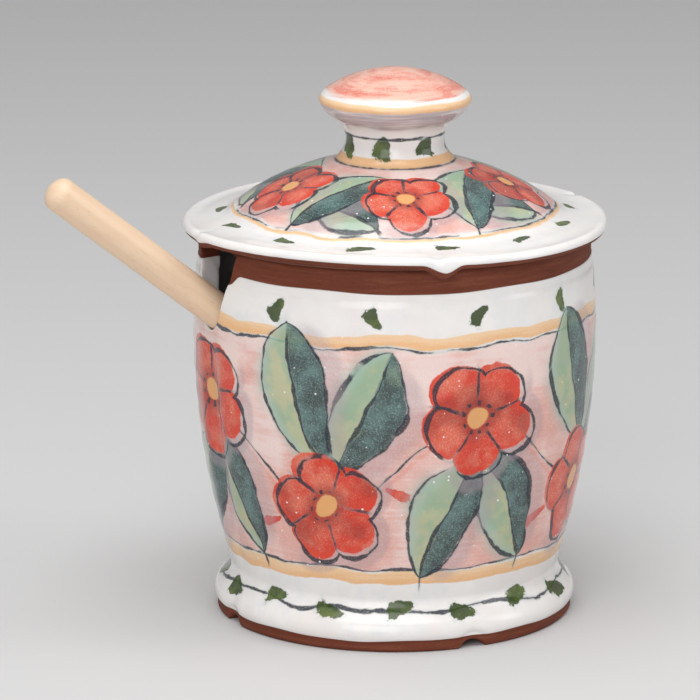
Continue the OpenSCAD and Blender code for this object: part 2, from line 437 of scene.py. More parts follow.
def jar_touch(angle, radius, height, part):
    """Every press on the plain jar, in the order that the potter made them."""
    angle -= crowding * math.sin(angle)
    radius, height = notched(angle, radius, height, part)
    aside = from_groove(angle) * radius
    if part == OUTSIDE and radius > base_r - arch_in and height < arch_fade_z:
        lift = arch_lift(aside, min(radius, base_r))
        height += lift * (1 - height / arch_fade_z)
    if part == OUTSIDE and height > base_bevel / 2:
        radius -= groove_dent(aside, height)
        radius += glaze_skin(angle, height)
    if part != LIP:
        radius += hand_marks(angle, height, part)
    return angle, radius, height


jar_wheel = throw(jar_section, jar_columns)
press(jar_wheel, jar_touch)
jar = fired(jar_wheel, "painted_jar", "jar")

# %% [markdown]
# ## The lid's section
# The lid is thrown upside down as a shallow cone and trimmed: a rolled rim that overhangs the jar, a cone
# that swells to a crown, and a knob like a flat mushroom on a narrow neck. Underneath it has a flat seat,
# a ring that drops into the mouth and a hollow.

# %% Draw the lid's section
rim_middle = (56.9, 2.1)
rim_roll = 1.7
seat_r = 54.7
cone_foot = (46.2, 4.6)
crown = (17.3, 18.6)
knob_neck = (13.5, 24.9)
knob_side = (20.85, 35.9)
knob_top = (0, 44.4)
flange_r = 45.5
hollow_r = 41.5
flange_h = 6
lid_t = 4.4

roll = arc(rim_middle, rim_roll, -90, 80, 24)
under_knob = between(knob_neck, knob_side, 0.5, 0.55)
knob_shoulder = between(knob_side, knob_top, 0.637, 0.66)
hollow_foot = (hollow_r, cone_foot[1] - lid_t)
hollow_crown = (crown[0] - lid_t / 2, crown[1] - lid_t)
lid_section = [
    (OUTSIDE, straight((seat_r, 0), roll[0], 6) + roll),
    (OUTSIDE, curve(roll[-1], between(roll[-1], cone_foot, 0.5, -0.6), cone_foot, 10)),
    (OUTSIDE, curve(cone_foot, between(cone_foot, crown, 0.58, 0.71), crown, 26)),
    (OUTSIDE, curve(crown, between(crown, knob_neck, 0, 0.47), knob_neck, 9)),
    (OUTSIDE, curve(knob_neck, between(knob_neck, under_knob, 1, 0.73), under_knob, 9)),
    (OUTSIDE, curve(under_knob, between(under_knob, knob_side, 0, 0.54), knob_side, 8)),
    (OUTSIDE, curve(knob_side, between(knob_side, knob_shoulder, 1, 0.37), knob_shoulder, 10)),
    (OUTSIDE, curve(knob_shoulder, between(knob_shoulder, knob_top, 0.51, 0.9), knob_top, 14)),
]
lid_underside = [
    (INSIDE, straight((0, hollow_crown[1] + 1), hollow_crown, 5)),
    (INSIDE, curve(hollow_crown, between(hollow_foot, hollow_crown, 0.58, 0.8), hollow_foot, 16)),
    (INSIDE, straight(hollow_foot, (hollow_r, lip - flange_h), 4)),
    (INSIDE, arc((hollow_r + lip, lip - flange_h), lip, 180, 270, 5)),
    (INSIDE, arc((flange_r - lip, lip - flange_h), lip, 270, 360, 5)),
    (INSIDE, straight((flange_r, lip - flange_h), (flange_r, 0), 4)),
    (INSIDE, straight((flange_r, 0), (seat_r, 0), 8)),
]


def lifted(stretches, height):
    """The same stretches, that much higher."""
    return [(part, [(radius, up + height) for radius, up in outline]) for part, outline in stretches]


print("lid section:", sum(len(outline) for _, outline in lid_section + lid_underside), "points")

# %% [markdown]
# ## Pinches in the rim
# At four places the soft rim was pinched from above with a fingertip, harder at some than at others: the
# edge draws down to a small beak, a rib stands out on it, and a dimple stays on top. Modelled beaks set on
# the rim would look stuck on, so the rim itself is drawn down by rule.

# %% Pinch the lid's rim
pinches = [(math.radians(at), force) for at, force in ((1, 0.35), (79, 1), (186, 0.8), (271, 0.9))]
pinch_drop = 2.5
pinch_reach = 6
rib_at = 0.9
rib_half = 2.1
rib_rise = 0.44
flank_at = -2.7
flank_half = 1.5
flank_depth = 0.4
dimple_at = -1.6
dimple_depth = 0.7
dimple_half = 1.7
dimple_side = 1.5
rim_held_half = 2.5
seat_clear = 1
roll_half = 1.4
skin_half = 0.5
trim_ring = (0.07, 4.3)
trim_wobble = 0.1
top_flat_r = 2
rim_inner = 50
rim_waves = ((0.42, 2, -1.68), (0.26, 3, -2.09))
rim_trim = 0.62
rim_line_z = 1.75
glaze_run = 0.2
glaze_run_half = 2.4


def from_pinch(angle):
    """Distance round the rim to the nearest pinch, and how hard that one was pressed."""
    turns = [((angle - at + math.pi) % (2 * math.pi) - math.pi, force) for at, force in pinches]
    turned, force = min(turns, key=lambda turn: abs(turn[0]))
    return turned * rim_middle[0], force


def run_down(angle):
    """How far the glaze ran down over the rim's edge at a pinch."""
    aside, force = from_pinch(angle)
    return force * glaze_run * bell(aside - rib_at, glaze_run_half)


def lid_touch(angle, radius, height, part):
    """Pinches, a rim that isn't quite true, faint trimming rings and the glaze on the lid."""
    up = height - mouth_z
    place = Vector((math.cos(angle) * 2, math.sin(angle) * 2, up / 9))
    if part == OUTSIDE and radius > rim_inner:
        aside, force = from_pinch(angle)
        held = soft_step(radius - rim_inner - rim_held_half, rim_held_half)
        draw = 0
        if abs(aside) < pinch_reach:
            draw = force * pinch_drop * (1 + math.cos(math.pi * aside / pinch_reach)) / 2
        low_share = 1 - soft_step(up - rim_middle[1], rim_roll)
        seat_share = soft_step(radius - seat_r - seat_clear, seat_clear)
        rib = rib_rise * bell(aside - rib_at, rib_half) - flank_depth * bell(aside - flank_at, flank_half)
        dent = dimple_depth * bell(aside - dimple_at, dimple_half) * bell(radius - rim_middle[0], rim_roll)
        swing = sum(size * math.cos(count * angle + start) for size, count, start in rim_waves)
        glazed = soft_step(up - rim_line_z + run_down(angle), edge_half)
        height -= draw * low_share * seat_share
        height -= force * dent * soft_step(up - rim_middle[1], dimple_side)
        height += swing * held
        radius += (force * rib - rim_trim) * soft_step(radius - rim_middle[0], roll_half)
        radius += glaze_t * glazed * soft_step(radius - rim_middle[0], skin_half)
    if part == OUTSIDE and rim_inner > radius > top_flat_r:
        radius += trim_ring[0] * math.sin(2 * math.pi * radius / trim_ring[1] + angle)
        radius += trim_wobble * noise.noise(place)
    return angle, radius, height


lid_columns = 470
lid_wheel = throw(lifted(lid_underside + lid_section, mouth_z), lid_columns)
press(lid_wheel, lid_touch)
thrown_z = lid_wheel.verts.layers.float["thrown_z"]
for point in lid_wheel.verts:
    point[thrown_z] += run_down(math.atan2(-point.co.y, -point.co.x))
lid = fired(lid_wheel, "painted_lid", "lid")

# %% [markdown]
# ## The dipper
# A dipper is turned from one length of pale dowel: a round handle, a short taper and a swelling head with
# deep grooves that hold the honey. It is turned upright here, with a small bevel on every disc, and then
# leant into the notch in its mesh, so that its object stays at the origin.

# %% Turn the dipper
handle_r = 4.75
dipper_l = 174
dipper_in = 116.51
handle_round = 3.6
head_l = 38
head_r = 13.5
head_swell = 3.5
discs = 7
disc_gap = 2.3
core_r = 6.5
collar_l = 6
disc_bevel = 0.35
disc_t = (head_l - (discs - 1) * disc_gap) / discs


def head_at(along):
    """Radius of the head's swelling outline."""
    return head_r - head_swell * (2 * along / head_l - 1) ** 2


def disc_outline(low, last):
    """One disc with bevelled edges, and the floor of the groove after it."""
    high = low + disc_t
    edge = straight((head_at(low) - disc_bevel, low), (head_at(low), low + disc_bevel), 1)
    edge += [(head_at((low + high) / 2), (low + high) / 2)]
    edge += straight((head_at(high), high - disc_bevel), (head_at(high) - disc_bevel, high), 1)
    return edge + straight((core_r, high), (core_r, high if last else high + disc_gap), 1)


turned_outline = [(0, 0)]
for disc in range(discs):
    turned_outline += disc_outline(disc * (disc_t + disc_gap), disc == discs - 1)
turned_outline += curve((core_r, head_l), (handle_r, head_l + 1), (handle_r, head_l + collar_l), 6)
turned_outline += straight((handle_r, head_l + collar_l), (handle_r, dipper_l - handle_round), 40)
turned_outline += [
    (radius, dipper_l - handle_round * (1 - height / handle_r))
    for radius, height in arc((0, 0), handle_r, 0, 90, 12)
]


def lathe_touch(angle, radius, height, part):
    """A dowel that isn't quite straight or round, within a tenth of a millimetre."""
    sway = 0.05 * noise.noise(Vector((math.cos(angle), math.sin(angle), height / 18)))
    return angle, radius + sway * (head_l + collar_l < height < dipper_l - 1), height


lean_turn = Matrix.Rotation(-(math.pi / 2 - dipper_lean), 4, "Y")
to_notch = Matrix.Translation(Vector((-saddle_r, 0, saddle_z)) * MM)
dipper_wheel = throw([(OUTSIDE, turned_outline)], 72)
press(dipper_wheel, lathe_touch)
bmesh.ops.translate(dipper_wheel, verts=dipper_wheel.verts[:], vec=(0, 0, -dipper_in * MM))
bmesh.ops.transform(dipper_wheel, verts=dipper_wheel.verts[:], matrix=to_notch @ lean_turn)
dipper = fired(dipper_wheel, "turned_dipper", "dipper")

# %% [markdown]
# ## Sums that make materials
# A painted pot needs many small rules: how far is this spot from a leaf's edge, is it above the stripe.
# Wiring them by hand hides the idea. A small class wraps a node's output, so that ordinary sums on it add
# the Math nodes, and one method adds any other node.

# %% A number that varies over the surface
class Number:
    """An output of a node. Sums and comparisons on it add Math nodes to the same finish."""

    def __init__(self, finish, socket):
        self.finish = finish
        self.socket = socket

    def __add__(self, other):
        return self.finish.maths("ADD", self, other)

    def __radd__(self, other):
        return self.finish.maths("ADD", other, self)

    def __sub__(self, other):
        return self.finish.maths("SUBTRACT", self, other)

    def __rsub__(self, other):
        return self.finish.maths("SUBTRACT", other, self)

    def __mul__(self, other):
        return self.finish.maths("MULTIPLY", self, other)

    def __rmul__(self, other):
        return self.finish.maths("MULTIPLY", other, self)

    def __truediv__(self, other):
        return self.finish.maths("DIVIDE", self, other)

    def __pow__(self, other):
        return self.finish.maths("POWER", self, other)

    def __abs__(self):
        return self.finish.maths("ABSOLUTE", self)


# %% A finish and its nodes
def shade(red, green, blue):
    """A colour as the eye reads it, turned into the light that a shader works with."""
    parts = (red, green, blue)
    return (*(((part + 0.055) / 1.055) ** 2.4 if part > 0.04045 else part / 12.92 for part in parts), 1)


class Finish:
    """One material, with short ways to add nodes to it."""

    def __init__(self, name):
        self.material = bpy.data.materials.new(name)
        self.material.use_nodes = True
        self.tree = self.material.node_tree
        self.tree.nodes.clear()
        place = self.node("TexCoord").outputs["Object"]
        self.spot = self.vector("SCALE", place, Scale=1 / MM)

    def node(self, kind, settings=None, sockets=None):
        """Adds a node: its settings first, then the value or the link of each named socket."""
        added = self.tree.nodes.new("ShaderNode" + kind)
        for name, value in (settings or {}).items():
            setattr(added, name, value)
        for name, value in (sockets or {}).items():
            socket = added.inputs[name] if isinstance(name, int) else next(
                each for each in added.inputs if each.enabled and each.name == name)
            value = value.socket if isinstance(value, Number) else value
            if isinstance(value, bpy.types.NodeSocket):
                self.tree.links.new(value, socket)
            else:
                socket.default_value = value
        return added

    def maths(self, operation, *values):
        added = self.node("Math", {"operation": operation}, dict(enumerate(values)))
        return Number(self, added.outputs[0])

    def vector(self, operation, *values, **named):
        sockets = {**dict(enumerate(values)), **named}
        return self.node("VectorMath", {"operation": operation}, sockets).outputs[0]

    def parts(self, vector):
        added = self.node("SeparateXYZ", None, {"Vector": vector})
        return [Number(self, out) for out in added.outputs]

    def joined(self, x, y, z=0.0):
        return self.node("CombineXYZ", None, {"X": x, "Y": y, "Z": z}).outputs[0]

    def placed(self, vector, middle, lean=0.0, size=(1, 1, 1)):
        """The vector as seen from a middle point, turned by a lean in degrees and measured in its sizes."""
        sockets = {"Vector": vector, "Location": (*middle, 0)[:3]}
        sockets["Rotation"] = (0, 0, math.radians(lean))
        sockets["Scale"] = (*size, 1)[:3]
        return self.node("Mapping", {"vector_type": "TEXTURE"}, sockets).outputs[0]

    def cloud(self, size, detail=2.0, rough=0.5, vector=None, away=0.0, stretch=(1, 1, 1)):
        """Soft noise from 0 to 1 with features of a size in mm, taken some way off so that no two match."""
        source = self.placed(vector or self.spot, (away, away, away), 0, stretch)
        sockets = {"Vector": source, "Scale": 1 / size, "Detail": detail, "Roughness": rough}
        return Number(self, self.node("TexNoise", None, sockets).outputs[0])

    def rise(self, value, low, high):
        """A smooth rise from 0 at low to 1 at high. With low above high, it falls."""
        settings = {"interpolation_type": "SMOOTHSTEP"}
        sockets = {"Value": value, "From Min": low, "From Max": high}
        return Number(self, self.node("MapRange", settings, sockets).outputs[0])

    def within(self, value, low, high, soft):
        """1 between two levels, with soft edges."""
        return self.rise(value, low - soft, low + soft) * self.rise(value, high + soft, high - soft)

    def line(self, distance, half, soft=0.15):
        """A brushed line: 1 where the distance is under its half width."""
        return self.rise(abs(distance) - half, soft, -soft)

    def coat(self, under, over, mask):
        """One colour laid over another where the mask is 1."""
        sockets = {"Factor": mask, "A": under, "B": over}
        added = self.node("Mix", {"data_type": "RGBA"}, sockets)
        return next(out for out in added.outputs if out.enabled)

    def surface(self, colour, sockets, height):
        """Ends the finish with a surface of that colour and a bump whose height is in mm."""
        bump = self.node("Bump", None, {"Strength": 1.0, "Distance": MM, "Height": height})
        sockets = {"Base Color": colour, "Normal": bump.outputs[0], **sockets}
        shader = self.node("BsdfPrincipled", None, sockets)
        output = self.node("OutputMaterial")
        self.tree.links.new(shader.outputs[0], output.inputs["Surface"])
        print(self.material.name, "has", len(self.tree.nodes), "nodes")
        return self.material


# %% [markdown]
# ## The paint box
# The decoration is brushed with coloured slips on raw white glaze, so every colour is a wash: thin in the
# middle of a stroke, pooled at its edge, with the white showing through as pinholes.

# %% Colours of the slips and clays
WHITE = shade(0.915, 0.905, 0.895)
COOL_WHITE = shade(0.87, 0.87, 0.875)
BLUSH_WHITE = shade(0.90, 0.87, 0.86)
PINK_THIN = shade(0.905, 0.80, 0.775)
PINK = shade(0.885, 0.71, 0.675)
PINK_FULL = shade(0.85, 0.62, 0.57)
OCHRE = shade(0.90, 0.68, 0.44)
OCHRE_THIN = shade(0.93, 0.79, 0.62)
CHARCOAL = shade(0.15, 0.165, 0.21)
BLEED = shade(0.52, 0.60, 0.60)
RED = shade(0.81, 0.215, 0.13)
RED_THIN = shade(0.85, 0.43, 0.34)
RED_RIM = shade(0.84, 0.22, 0.12)
RED_DEEP = shade(0.52, 0.13, 0.11)
CORAL = shade(0.86, 0.46, 0.37)
CORAL_THIN = shade(0.92, 0.72, 0.64)
LEAF_LIGHT = shade(0.56, 0.67, 0.55)
LEAF_YELLOW = shade(0.69, 0.71, 0.56)
LEAF_MIST = shade(0.63, 0.73, 0.69)
LEAF_DARK = shade(0.19, 0.27, 0.27)
LEAF_BLUE = shade(0.34, 0.46, 0.45)
OLIVE = shade(0.19, 0.26, 0.06)
OLIVE_THIN = shade(0.37, 0.44, 0.16)
LAVENDER = shade(0.64, 0.57, 0.60)
CLAY = shade(0.425, 0.20, 0.12)
CLAY_LIGHT = shade(0.51, 0.285, 0.20)
CLAY_DARK = shade(0.30, 0.13, 0.07)
print("a red slip in linear light:", [round(part, 3) for part in RED[:3]])

# %% [markdown]
# ## Brush marks that all motifs share
# A loaded brush gives an uneven line, a wash that clouds, faint streaks from the turning pot and grains
# where the slip is coarse. These fields are made once for each finish, and every motif borrows them.

# %% The brush
fine_sway = 0.8


class Brush:
    """Noise fields of one finish that make its strokes look laid by hand."""

    def __init__(self, finish, sway):
        self.pool = finish.cloud(8, 4, 0.62, away=31)
        self.wide = finish.cloud(17, 2, 0.5, away=9)
        self.press = finish.cloud(7, 2, 0.5, away=63)
        self.grain = finish.cloud(0.42, 2, 0.75, away=17)
        self.streak = finish.cloud(15, 4, 0.6, away=47, stretch=(1, 1, 0.07))
        drift = finish.node("TexNoise", None, {"Vector": finish.spot, "Scale": 1 / 19, "Detail": 1.5})
        fine = finish.node("TexNoise", None, {"Vector": finish.spot, "Scale": 1 / 3.4, "Detail": 2})
        moved = finish.vector("MULTIPLY_ADD", drift.outputs[1], (sway,) * 3, finish.spot)
        moved = finish.vector("MULTIPLY_ADD", fine.outputs[1], (fine_sway,) * 3, moved)
        self.spot = finish.vector("SUBTRACT", moved, ((sway + fine_sway) / 2,) * 3)
        self.slip = (finish.cloud(13, 1, 0.5, away=83) - 0.5) * 6
        self.ragged = finish.cloud(1.7, 3, 0.65, away=77) - 0.5
        self.line_half = 0.17 + 0.5 * finish.rise(self.press, 0.38, 0.68)
        self.lifts = finish.rise(finish.cloud(11, 2, 0.5, away=5), 0.29, 0.36)
        self.speck = finish.rise(self.grain, 0.5, 0.68)


def ink(finish, brush, ground, distance, mask=1.0, weight=1.0, halo=1.1):
    """A charcoal line along a distance of nought: it swells, thins, grains and breaks off."""
    soft = finish.rise(abs(distance), halo, 0) * (0.3 * mask)
    ground = finish.coat(ground, BLEED, soft)
    core = finish.rise(abs(distance) - brush.line_half * weight + brush.ragged * 0.4, 0.2, -0.16) * mask
    core = core * brush.lifts * (0.93 - 0.3 * brush.speck)
    return finish.coat(ground, CHARCOAL, core)


# %% [markdown]
# ## A blossom
# The round red motif is a plain five-petalled flower. Its outline is one rule in polar terms, a circle
# that swells five times, which is crisper than any texture and needs no image. The charcoal outline is
# drawn after the wash and sits beside its edge, as it does when a painter works fast.

# %% Paint a blossom
line_shift = (1.3, -1.1)
petal_turn = 2.5


def petals(finish, across, up, size, start):
    """Distance from the middle, turn round it, closeness to a petal's tip, and distance past the edge."""
    reach = finish.maths("SQRT", across * across + up * up)
    turn = finish.maths("ARCTAN2", up, across)
    petal = abs(finish.maths("COSINE", turn * petal_turn + start))
    return reach, turn, petal, reach - size * (0.76 + 0.24 * petal ** 0.7)


def red_slip(finish, brush, edge, petal):
    """Coarse red slip: clouded and speckled inside, smooth and bright where it pools at the edge."""
    thin = finish.rise(brush.pool + 0.12 * petal, 0.44, 0.70)
    wash = finish.coat(RED, RED_THIN, thin * 0.8)
    wash = finish.coat(wash, CORAL_THIN, brush.speck * (0.16 + 0.3 * thin))
    wash = finish.coat(wash, RED_DEEP, finish.rise(brush.wide, 0.54, 0.66) * 0.5)
    pooled = finish.rise(edge, -3.2, -1.4) * finish.rise(brush.press, 0.4, 0.6)
    return finish.coat(wash, RED_RIM, pooled * 0.8)


def blossom(finish, brush, ground, across, up, size, start):
    """Lays one blossom of a size, its radius in mm, round the point where across and up are nought."""
    reach, turn, petal, edge = petals(finish, across, up, size, start)
    cast = finish.rise(across - up, 0, 0.7 * size) * finish.rise(edge, 5.4, 3.6)
    ground = finish.coat(ground, LAVENDER, cast * (0.44 - 0.16 * brush.speck))
    wash = red_slip(finish, brush, edge, petal)
    wash = finish.coat(wash, RED_DEEP, finish.rise(reach, 0.5 * size, 0.24 * size) * 0.6)
    ground = finish.coat(ground, wash, finish.rise(edge + brush.ragged * 1.1, 0.25, -0.25) * 0.97)
    fold = petal * reach * 0.4
    folds = finish.within(reach, 0.34 * size, 0.8 * size, 1.5)
    ground = ink(finish, brush, ground, fold - 0.15, folds, 0.55, 0.6)
    heart = finish.rise(reach + (brush.grain - 0.5) * 0.9, 0.19 * size + 0.3, 0.19 * size - 0.3)
    ground = finish.coat(ground, OCHRE, heart * 0.85)
    stamens = finish.rise(finish.maths("COSINE", turn * 9), 0.1, 0.6)
    ground = ink(finish, brush, ground, reach - 0.26 * size, stamens, 1.3, 0.5)
    *_, drawn = petals(finish, across - line_shift[0], up - line_shift[1], size, start + 0.12)
    return ink(finish, brush, ground, drawn + brush.slip * 0.3, 1.0, 1.3)


# %% [markdown]
# ## A leaf
# A leaf is brushed in two strokes, a pale green one that bleeds past its outline and a dark, grainy one
# that meets it at the midrib. In its own frame the leaf is a length and a half width, so one curve gives
# its edge.

# %% Paint a leaf
def leaf(finish, brush, ground, field, middle, lean, long, wide, bend):
    """Lays one leaf on a field of (across, up), with its middle, lean in degrees and half sizes in mm."""
    along, side, _ = finish.parts(finish.placed(field, middle, lean, (long, wide)))
    square = along * along
    side = side + bend * square
    inside = finish.maths("MAXIMUM", 1 - square, 0) ** 0.7 - finish.maths("MAXIMUM", square - 1, 0)
    edge = (abs(side) - inside * (1 + 0.2 * along)) * (0.8 * wide)
    shadow = finish.rise(side, 0.1, -0.7) * finish.rise(edge, 5.8, 2.8) * finish.rise(abs(along), 1.05, 0.8)
    ground = finish.coat(ground, LAVENDER, shadow * (0.42 - 0.16 * brush.speck))
    mist = finish.rise(edge, 4.2, -1.0) * finish.rise(side, -0.4, 0.4) * finish.rise(brush.wide, 0.35, 0.55)
    ground = finish.coat(ground, LEAF_MIST, mist * 0.7)
    pale = finish.coat(LEAF_LIGHT, LEAF_YELLOW, finish.rise(brush.pool - 0.12 * along, 0.42, 0.64))
    pale = finish.coat(pale, LEAF_MIST, finish.rise(edge, -3.2, -0.4) * 0.6)
    thin = finish.rise(brush.pool + 0.3 * (brush.grain - 0.5), 0.38, 0.66)
    deep = finish.coat(LEAF_DARK, LEAF_BLUE, thin)
    deep = finish.coat(deep, LEAF_DARK, finish.rise(edge, -1.9, -0.3) * 0.7)
    tip = finish.rise(along, 0.45, 0.95) * finish.rise(brush.press, 0.4, 0.6)
    deep = finish.coat(deep, LEAF_LIGHT, tip * 0.5)
    deep = finish.coat(deep, LEAF_MIST, brush.speck * 0.34)
    dark_half = finish.rise(side + (brush.press - 0.5) * 0.35, 0.05, -0.05)
    soft = 1.3 - 1.05 * dark_half
    body = finish.rise((edge + brush.ragged) / soft, 0.7, -0.7)
    ground = finish.coat(ground, finish.coat(pale, deep, dark_half), body * (0.86 + 0.1 * dark_half))
    ribbed = finish.within(along, -1.2, 0.86, 0.08)
    ground = ink(finish, brush, ground, side * wide + brush.slip * 0.1, ribbed, 0.9, 0.9)
    return ink(finish, brush, ground, edge + brush.slip * 0.3, finish.rise(abs(along), 1.1, 1.0), 1.05)


# %% [markdown]
# ## Dabs, stripes and pinholes
# Short olive dabs, ochre stripes and charcoal lines are the common stock of a painted kitchen pot. A ring
# of dabs repeats round the pot, so the angle is wrapped into cells and only one dab is drawn.

# %% Paint the small marks
def dab(finish, brush, ground, across, up, long, wide, lean, mask=1.0, thick=OLIVE, thin=OLIVE_THIN):
    """One short stroke: a drop of slip with a blunt end, a tapered end and a thinner middle."""
    field = finish.joined(across, up)
    along, side, _ = finish.parts(finish.placed(field, (0, 0), lean, (long, wide)))
    side = side * (1.15 + 0.45 * along) + 0.25 * along * along
    shape = finish.maths("SQRT", abs(along) ** 3.0 + abs(side) ** 2.6)
    shape = shape + (brush.press - 0.5) * 0.9 + brush.ragged * 1.3
    ground = finish.coat(ground, BLEED, finish.rise(shape, 1.5, 1.0) * (0.16 * mask))
    tone = finish.coat(thick, thin, finish.rise(brush.pool + 0.3 * (brush.grain - 0.5), 0.46, 0.7))
    return finish.coat(ground, tone, finish.rise(shape, 1.08, 0.92) * (0.94 * mask))


def stripe(finish, brush, ground, height, middle, half, thinned=0.8):
    """A stripe of thin ochre slip with an uneven edge, fuller towards its lower side."""
    uneven = height - middle + (brush.wide - 0.5) * 1.3
    body = finish.rise(abs(uneven) - half * (0.8 + 0.4 * brush.press), 0.25, -0.25)
    faint = finish.rise(uneven + (brush.streak - 0.5) * half * 3, -half, half)
    tone = finish.coat(OCHRE, OCHRE_THIN, faint * thinned)
    tone = finish.coat(tone, WHITE, brush.speck * 0.18)
    return finish.coat(ground, tone, body * 0.9)


def ring_of_dabs(finish, brush, ground, angle, past, ring, size, lift=0.0, flip=True):
    """Lays a ring's count of dabs at its radius, where past is nought, every second one upside down."""
    count, radius, reach = ring
    width = 2 * math.pi * radius / count
    round_mm = angle * radius
    number = finish.maths("FLOOR", round_mm / width + 0.5)
    near = finish.rise(abs(past), reach + 0.5, reach - 0.5)
    if flip:
        past = past * (finish.maths("PINGPONG", number, 1) * 2 - 1)
    return dab(finish, brush, ground, round_mm - number * width, past - lift, *size, near)


def pinholes(finish, brush, size, share):
    """Tiny bright spots, in loose clusters, where the white glaze shows through a wash."""
    spots = finish.node("TexVoronoi", None, {"Vector": finish.spot, "Scale": 1 / size, "Randomness": 1.0})
    distance = Number(finish, spots.outputs["Distance"])
    colour = finish.node("SeparateColor", None, {"Color": spots.outputs["Color"]})
    chosen = Number(finish, colour.outputs[0])
    crowd = share * (1 + 3 * finish.rise(brush.wide, 0.42, 0.62))
    return finish.rise(distance + (1 - chosen) * 0.5, 0.21, 0.1) * finish.rise(chosen + crowd, 1.0, 1.02)


print("brushes ready")

# %% [markdown]
# ## The jar's finish
# Under everything lies white tin glaze. A pink wash covers the belly between two ochre stripes, a garland
# of blossoms and leaves winds over it, dabs sit on the shoulder, and a thin vine with dabs runs round the
# foot. The paint stays on the outside. Where the glaze stops, at the very line where the mesh steps back,
# the red clay is bare, dull and grainy.

# %% Glaze the jar
paint_r = 54
garland_pairs = 4
garland_pitch = 2 * math.pi * paint_r / garland_pairs
high_z, low_z = 65.5, 40.5
pink_low, pink_high = 23, 85.2
top_stripe_z = 87.5
low_stripe_z = 20.4
top_stripe_half = 1.6
low_stripe_half = 2.0
top_line_gap = 2.1
low_line_gap = 2.7
high_leaves = (((11.5, -25.5), 118, 17.5, 8.6, -0.25), ((-9.5, -27.5), 66, 18, 9.2, 0.3))
low_leaves = (((12.5, 26), 64, 18.5, 9.0, -0.22), ((-7.5, 30.5), 106, 20, 9.6, 0.25))
buds = ((20, (-18.5, -6)), (150, (20.5, 4.5)))
bud_size = (3.6, 1.3)
high_size, low_size = 16.8, 16.2
shoulder_dab_z = 93.4
shoulder_ring = (12, paint_r, 8)
shoulder_dab = (3.0, 1.9, 62)
vine_z = 10.2
vine_sway = 0.5
vine_ring = (16, 48, 5)
vine_dab = (4.2, 1.9, 14)
wash_middle = 55
wash_fall = 0.0022
glaze_shine = 0.36


def own_number(finish, name):
    """A number that the piece's points carry."""
    return Number(finish, finish.node("Attribute", {"attribute_name": name}).outputs["Fac"])


def true_polar(finish):
    """Angle from the notch and height of the real spot, before any sway of the brush."""
    x, y, height = finish.parts(finish.spot)
    return finish.maths("ARCTAN2", y * -1.0, x * -1.0), height


def clay_line(finish, angle, level, waves):
    """The wavy line where the glaze stops, as the mesh has it."""
    line = angle * 0 + level
    for size, count, start in waves:
        line = line + finish.maths("SINE", angle * count + start) * size
    return line


def white_glaze(finish, brush):
    """White glaze, a little cooler where it lies thick and blushing where slip was wiped off it."""
    tone = finish.coat(WHITE, COOL_WHITE, finish.rise(brush.pool, 0.42, 0.7) * 0.6)
    return finish.coat(tone, BLUSH_WHITE, finish.rise(brush.wide, 0.5, 0.68) * 0.6)


def pink_wash(finish, brush, ground, height, mask):
    """A thin coral wash, cloudy, faintly streaked by the turning of the wheel and fuller lower down."""
    density = brush.wide * 0.5 + brush.pool * 0.25 + brush.streak * 0.25
    density = density + (wash_middle - height) * wash_fall
    tone = finish.coat(PINK_THIN, PINK, finish.rise(density, 0.40, 0.52))
    tone = finish.coat(tone, PINK_FULL, finish.rise(density, 0.47, 0.60) * 0.85)
    tone = finish.coat(tone, WHITE, brush.speck * 0.3)
    return finish.coat(ground, tone, mask * 0.96)


def bare_clay(finish, brush):
    """Red clay with fine grog and darker streaks from the turning tool."""
    tone = finish.coat(CLAY, CLAY_LIGHT, finish.rise(brush.streak, 0.46, 0.7) * 0.6)
    tone = finish.coat(tone, CLAY_DARK, finish.rise(brush.streak, 0.42, 0.28) * 0.6)
    tone = finish.coat(tone, CLAY_LIGHT, finish.rise(brush.pool, 0.5, 0.75) * 0.3)
    return finish.coat(tone, CLAY_DARK, brush.speck * 0.35)


def from_repeat(finish, round_mm, middle):
    """Distance round the pot from the nearest repeat of a motif."""
    return finish.maths("WRAP", round_mm - middle, garland_pitch / 2, -garland_pitch / 2)


def garland(finish, brush, ground, angle, height):
    """Blossoms on a waving stem. Leaves hang under the high ones and stand over the low ones."""
    round_mm = angle * paint_r
    wave = finish.maths("COSINE", angle * garland_pairs)
    stem = (height - (high_z + low_z) / 2 - wave * (high_z - low_z) / 2) * 0.8
    ground = finish.coat(ground, CORAL, finish.line(stem + 1.8, 0.7, 0.6) * 0.3)
    ground = ink(finish, brush, ground, stem, 1.0, 0.7)
    high = finish.joined(from_repeat(finish, round_mm, 0), height - high_z)
    low = finish.joined(from_repeat(finish, round_mm, garland_pitch / 2), height - low_z)
    for lean, middle in buds:
        across, up, _ = finish.parts(finish.placed(low, middle))
        ground = dab(finish, brush, ground, across, up, *bud_size, lean, 1.0, RED, CORAL)
    for field, leaves in ((high, high_leaves), (low, low_leaves)):
        for each in leaves:
            ground = leaf(finish, brush, ground, field, *each)
    ground = blossom(finish, brush, ground, *finish.parts(low)[:2], low_size, 1.7)
    return blossom(finish, brush, ground, *finish.parts(high)[:2], high_size, 0.8)


